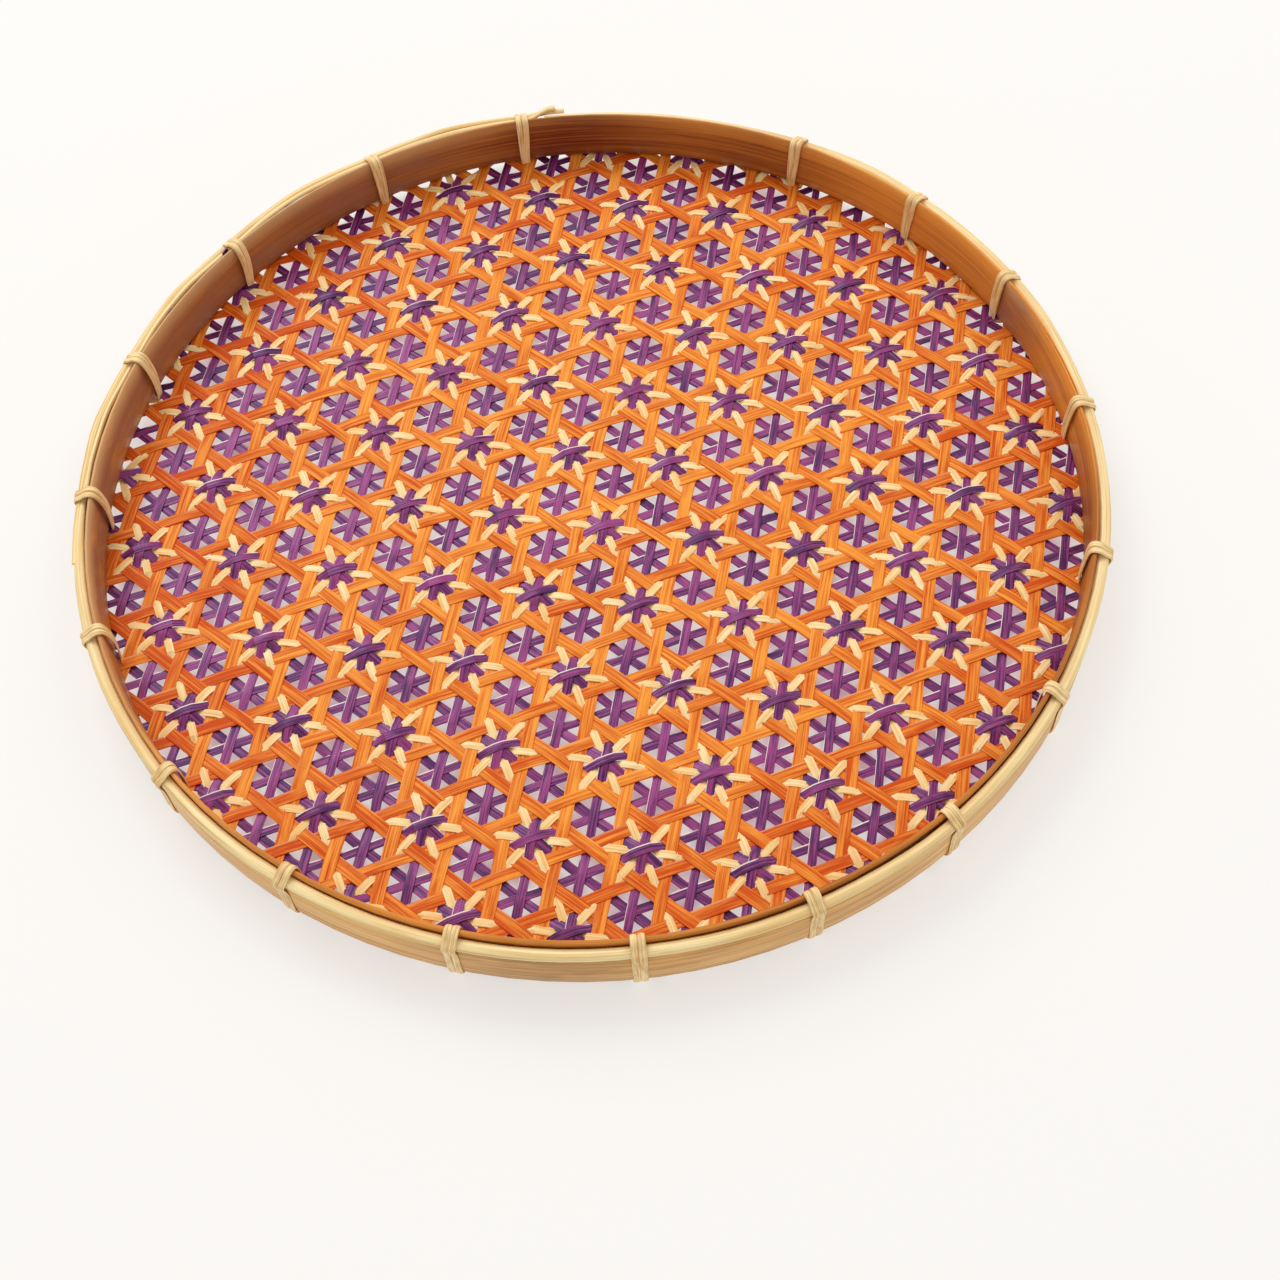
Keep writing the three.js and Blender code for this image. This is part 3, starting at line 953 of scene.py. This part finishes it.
class BASKET_OT_lay_rim(bpy.types.Operator):
    """Lay the split cane and its two thin splints along the rim"""

    bl_idname = "basket.lay_rim"
    bl_label = "Lay the rim cane"

    def execute(self, context):
        rim = context.scene.basket_rim
        snug = INNER_TOP_OUTSIDE + 0.05 * MM + rim.cane_width / 2
        # How far the cane strays out from the inner hoop round the rim.
        stray = [(185, 0.1), (215, 0.0), (300, 0.0), (308, 0.1), (317.5, 0.5), (321, 0.1), (330, 0.0),
                 (386, 0.05), (391.5, 0.5), (396.5, 0.45), (400, 0.2), (407, 0.35), (415, 0.5),
                 (422, 1.1), (432, 0.3), (442, -0.3), (466, -0.3)]
        width = rim.cane_width
        height = rim.cane_height
        cane = lay_along_rim(
            "rim_cane_strip", 186, 466, 560,
            radius_at=lambda d: snug + between(d, stray) * MM,
            width_at=lambda d: width * between(
                d, [(186, 0.3), (203, 1.0), (425, 1.0), (440, 0.6), (466, 0.5)]),
            height_at=lambda d: height * between(
                d, [(186, 0.5), (203, 1.0), (425, 1.0), (440, 0.75), (466, 0.7)]),
            lift_at=lambda d: CANE_BOTTOM + FLAT_SHARE * height + 0.1 * MM * smooth((d - 430) / 10),
            seed=21, tone=lambda t: wander(t, 31, (3, 8), 0.4))
        hand_over(cane, finish("peeled_cane"), "rim_cane", "rim_cane")

        low = 0.75 * height
        # Behind the tray the splints ride up on each other, and their cut tips spring out. A splint's
        # places and widths are knots in degrees round the rim and mm, or shares of its width.
        ride_up = [(104, 0.9), (140, 0.9), (156, 0.1), (200, 0.0)]
        for number, (name, node, end, out, wide, bulge, tip_out, tip_up) in enumerate((
            ("rim_splint_pale", "rim_splint_inner", 104.5,
             [(104, 1.3), (112, 1.4), (130, 1.6), (142, 1.9), (165, 1.9), (176, 1.9), (200, 1.7)],
             [(104, 1.1), (108, 1.0), (130, 0.95), (150, 0.85), (200, 0.62)],
             [(104, 0.4), (130, 0.4), (142, 0.8), (165, 0.8), (176, 0.4)], 3.0, 1.7),
            ("rim_splint_tan", "rim_splint_outer", 103.4,
             [(104, 3.2), (112, 3.5), (130, 3.6), (142, 3.7), (165, 3.7), (185, 3.4), (200, 3.2)],
             [(104, 1.0), (108, 1.0), (130, 1.1), (150, 1.15), (185, 1.15), (200, 0.8)],
             [(104, 0.7), (130, 0.7), (142, 0.8), (165, 0.8), (176, 0.7)], 0.9, -0.1),
        )):
            def radius_at(d):
                spring = tip_out * smooth((TIP_SPRING - d) / TIP_RUN)
                return INNER_TOP_OUTSIDE + (between(d, out) + spring + between(d, bulge) * swell(d)) * MM

            def lift_at(d):
                spring = tip_up * smooth((TIP_SPRING - d) / TIP_RUN)
                return CANE_BOTTOM + 0.45 * low + (spring + between(d, ride_up) + 0.4 * swell(d)) * MM

            splint = lay_along_rim(
                name, 200, end, 240, radius_at,
                width_at=lambda d: rim.splint_width * between(d, wide),
                height_at=lambda d: low * between(
                    d, [(104, 0.75), (108, 0.8), (180, 1.0), (200, 0.6)]),
                lift_at=lift_at, seed=25 + 4 * number, tone=-0.3 + 0.9 * number)
            hand_over(splint, finish("peeled_cane"), "rim_cane", node)
        return {"FINISHED"}


# ---- Lashings ----

LASHING_SIDES = 8
LASHING_STEPS = 132
# How far a lashing stands off the wall inside the tray, as (degrees round the rim, mm).
LASHING_SLACK = [(0, 0.1), (100, 0.1), (135, 1.1), (205, 1.2), (235, 0.1), (360, 0.1)]


def closed_line(points, amount):
    """Places round a closed smooth line through points, amount running from 0 to 1 a turn."""
    points = np.asarray(points, dtype=float)
    count = len(points)
    position = (amount % 1.0) * count
    i = np.floor(position).astype(int)
    f = (position - i)[:, None]
    p0, p1, p2, p3 = (points[(i + k) % count] for k in (-1, 0, 1, 2))
    return 0.5 * (2 * p1 + (p2 - p0) * f + (2 * p0 - 5 * p1 + 4 * p2 - p3) * f ** 2
                  + (3 * p1 - p0 - 3 * p2 + p3) * f ** 3)


class BASKET_OT_tie_lashings(bpy.types.Operator):
    """Bind the rim with two turns of split rattan at each lashing"""

    bl_idname = "basket.tie_lashings"
    bl_label = "Tie the lashings"

    def execute(self, context):
        rim = context.scene.basket_rim
        thick = rim.rattan_thickness
        inside = INNER_TOP_OUTSIDE - rim.lean - rim.inner_wall - 0.55 * thick
        outside = RIM_RADIUS + 0.6 * thick
        top = INNER_TOP + 0.55 * thick
        cane_top = CANE_BOTTOM + rim.cane_height + 0.6 * thick
        # The strand's line round the rim, as radius and height, from below up the inside.
        loop = [
            (inside + 0.1 * MM, 1.3 * MM), (inside - 0.2 * MM, 5.0 * MM),
            (inside - 0.3 * MM, 0.4 * top), (inside - 0.1 * MM, 0.7 * top),
            (inside + 0.35 * MM, top - 1.5 * MM), (inside + rim.lean + 0.9 * MM, top + 0.15 * MM),
            (INNER_TOP_OUTSIDE + 0.9 * MM, top - 0.1 * MM),
            (RIM_RADIUS - 1.0 * MM, cane_top + 0.2 * MM),
            (outside + 0.85 * MM, cane_top - 1.4 * MM), (outside + 0.1 * MM, OUTER_TOP - 2.5 * MM),
            (outside, 0.5 * OUTER_TOP), (outside - 0.05 * MM, OUTER_BOTTOM + 1.0 * MM),
            (outside - 1.0 * MM, 1.1 * MM), (outside - 3.2 * MM, 0.85 * thick),
            (inside + 1.4 * MM, 0.85 * thick),
        ]
        shape = half_round_section(rim.rattan_width, thick, LASHING_SIDES)
        for number, node in enumerate(LASHINGS):
            turn = self.tie(number, node, loop, shape, rim)
            hand_over(turn, finish("split_rattan"), "rattan_lashing", node)
        return {"FINISHED"}

    def tie(self, number, node, loop, shape, rim):
        """Winds one lashing: the strand goes round twice, side by side over the rim."""
        angle = lashing_angle(node)
        out = np.array([math.cos(angle), math.sin(angle)])
        beside = np.array([-out[1], out[0]])
        draw = np.random.default_rng(300 + number)
        slant = draw.uniform(-1.2, 1.2) * MM
        foot = draw.uniform(0.35, 0.6)
        ride_over = draw.uniform(0.0, 0.25) * MM
        slack = between(math.degrees(angle) % 360, LASHING_SLACK) * MM

        def centre_line(t):
            turns = 0.02 + 2.0 * t
            line = closed_line(loop, turns)
            radius, z = line[:, 0], line[:, 1]
            # The two turns meet at the foot, where they go through the mat.
            height = smooth(z / INNER_TOP)
            on_inside = smooth((RIM_RADIUS - 3 * MM - radius) / (3 * MM))
            spread = 0.505 * rim.rattan_width * (1 - on_inside * (1 - height) * (1 - foot))
            part = smooth((t - 0.44) / 0.12) * 2 - 1
            offset = part * spread + slant * on_inside * (1 - height)
            lift = ride_over * smooth((t - 0.5) / 0.1) * on_inside
            # The slack is greatest a little above the middle of the wall.
            belly = np.sin(math.pi * np.clip(z / INNER_TOP, 0, 1) ** 1.6) * on_inside
            return radius - lift - slack * belly, z, offset

        def path(t, across, through):
            radius, z, offset = centre_line(t)
            ahead = centre_line(t + 0.002)
            back = centre_line(t - 0.002)
            run = np.stack([ahead[0] - back[0], ahead[1] - back[1]], axis=1)
            run = run / np.linalg.norm(run, axis=1)[:, None]
            # The loop runs up the inside, so its outward side is on the left of the run.
            normal = np.stack([-run[:, 1], run[:, 0]], axis=1)
            r = radius + normal[:, 0] * through
            height = z + normal[:, 1] * through
            plan = np.outer(r, out) + np.outer(offset + across, beside)
            return np.stack([plan[:, 0], plan[:, 1], height], axis=1)

        strand = rod_along(path, shape, LASHING_STEPS, grain_start=31.0 * number,
                           tone=float(draw.uniform(-0.7, 0.3)))
        return join([strand], f"lashing_turns_{number + 1:02d}")


# ---- Stage ----

ROOM_COLOUR = "FFFDFB"
ROOM_LIGHT = 0.62
# Each lamp's place and size in metres, and its power in watts.
LAMPS = (
    ("window", Vector((-1.42, 1.57, 2.25)), 1.95, 48.0),
    ("far_window", Vector((1.3, 1.5, 2.1)), 1.6, 14.0),
)


class BASKET_OT_set_stage(bpy.types.Operator):
    """Set the pale paper, the soft lights and the camera"""

    bl_idname = "basket.set_stage"
    bl_label = "Set the stage"

    def execute(self, context):
        stage = context.scene.basket_stage
        self.paper(stage)
        self.lights(context.scene)
        self.camera(context.scene, stage)
        return {"FINISHED"}

    def paper(self, stage):
        deselect_all()
        bpy.ops.mesh.primitive_plane_add(size=30.0, location=(0, 0, 0))
        paper = bpy.context.object
        bpy.ops.object.mode_set(mode="EDIT")
        bpy.ops.mesh.subdivide(number_cuts=15)
        bpy.ops.object.mode_set(mode="OBJECT")
        paper.name = "paper"
        paper.data.materials.append(paper_material("white_paper", stage.paper))

    def lights(self, scene):
        world = bpy.data.worlds.new("soft_room")
        world.use_nodes = True
        room = world.node_tree.nodes["Background"]
        room.inputs["Color"].default_value = linear(ROOM_COLOUR)
        room.inputs["Strength"].default_value = ROOM_LIGHT
        scene.world = world
        for name, place, size, power in LAMPS:
            bpy.ops.object.light_add(type="AREA", location=place)
            lamp = bpy.context.object
            lamp.name = name
            lamp.data.size = size
            lamp.data.energy = power
            lamp.rotation_euler = (-place).to_track_quat("-Z", "Y").to_euler()
        scene.view_settings.view_transform = "Standard"

    def camera(self, scene, stage):
        a, e = stage.azimuth, stage.elevation
        back = Vector((math.sin(a) * math.cos(e), -math.cos(a) * math.cos(e), math.sin(e)))
        level_right = Vector((math.cos(a), math.sin(a), 0))
        level_up = back.cross(level_right)
        right = math.cos(stage.roll) * level_right + math.sin(stage.roll) * level_up
        up = math.cos(stage.roll) * level_up - math.sin(stage.roll) * level_right
        middle = Vector((0, 0, scene.basket_weave.level))
        place = middle + stage.aim_right * right - stage.aim_down * up + stage.distance * back
        bpy.ops.object.camera_add(location=place)
        camera = bpy.context.object
        turned = Matrix((right, up, back)).transposed()
        camera.rotation_euler = turned.to_euler()
        camera.data.lens = stage.lens
        camera.data.sensor_width = 36
        camera.data.clip_start = 0.01
        scene.camera = camera


# ---- Add-on ----

OPERATORS = (
    BASKET_OT_set_stage,
    BASKET_OT_weave_orange,
    BASKET_OT_weave_purple,
    BASKET_OT_weave_cream,
    BASKET_OT_turn_up_ends,
    BASKET_OT_bend_hoops,
    BASKET_OT_lay_rim,
    BASKET_OT_tie_lashings,
)


class BASKET_PT_panel(bpy.types.Panel):
    bl_label = "Winnowing basket"
    bl_idname = "BASKET_PT_panel"
    bl_space_type = "VIEW_3D"
    bl_region_type = "UI"
    bl_category = "Basket"

    def draw(self, context):
        layout = self.layout
        for operator in OPERATORS:
            layout.operator(operator.bl_idname)
        for settings in SETTINGS:
            box = layout.box()
            group = getattr(context.scene, settings)
            for name in group.bl_rna.properties.keys():
                if name not in ("rna_type", "name"):
                    box.prop(group, name)


SETTINGS = {"basket_weave": WeaveSettings, "basket_rim": RimSettings, "basket_stage": StageSettings}
CLASSES = (*SETTINGS.values(), *OPERATORS, BASKET_PT_panel)


def register():
    for cls in CLASSES:
        bpy.utils.register_class(cls)
    for name, group in SETTINGS.items():
        setattr(bpy.types.Scene, name, bpy.props.PointerProperty(type=group))


def unregister():
    for name in SETTINGS:
        delattr(bpy.types.Scene, name)
    for cls in reversed(CLASSES):
        bpy.utils.unregister_class(cls)


def main():
    register()
    bpy.ops.basket.set_stage()
    bpy.ops.basket.weave_orange()
    bpy.ops.basket.weave_purple()
    bpy.ops.basket.weave_cream()
    bpy.ops.basket.turn_up_ends()
    bpy.ops.basket.bend_hoops()
    bpy.ops.basket.lay_rim()
    bpy.ops.basket.tie_lashings()


if __name__ == "__main__":
    main()
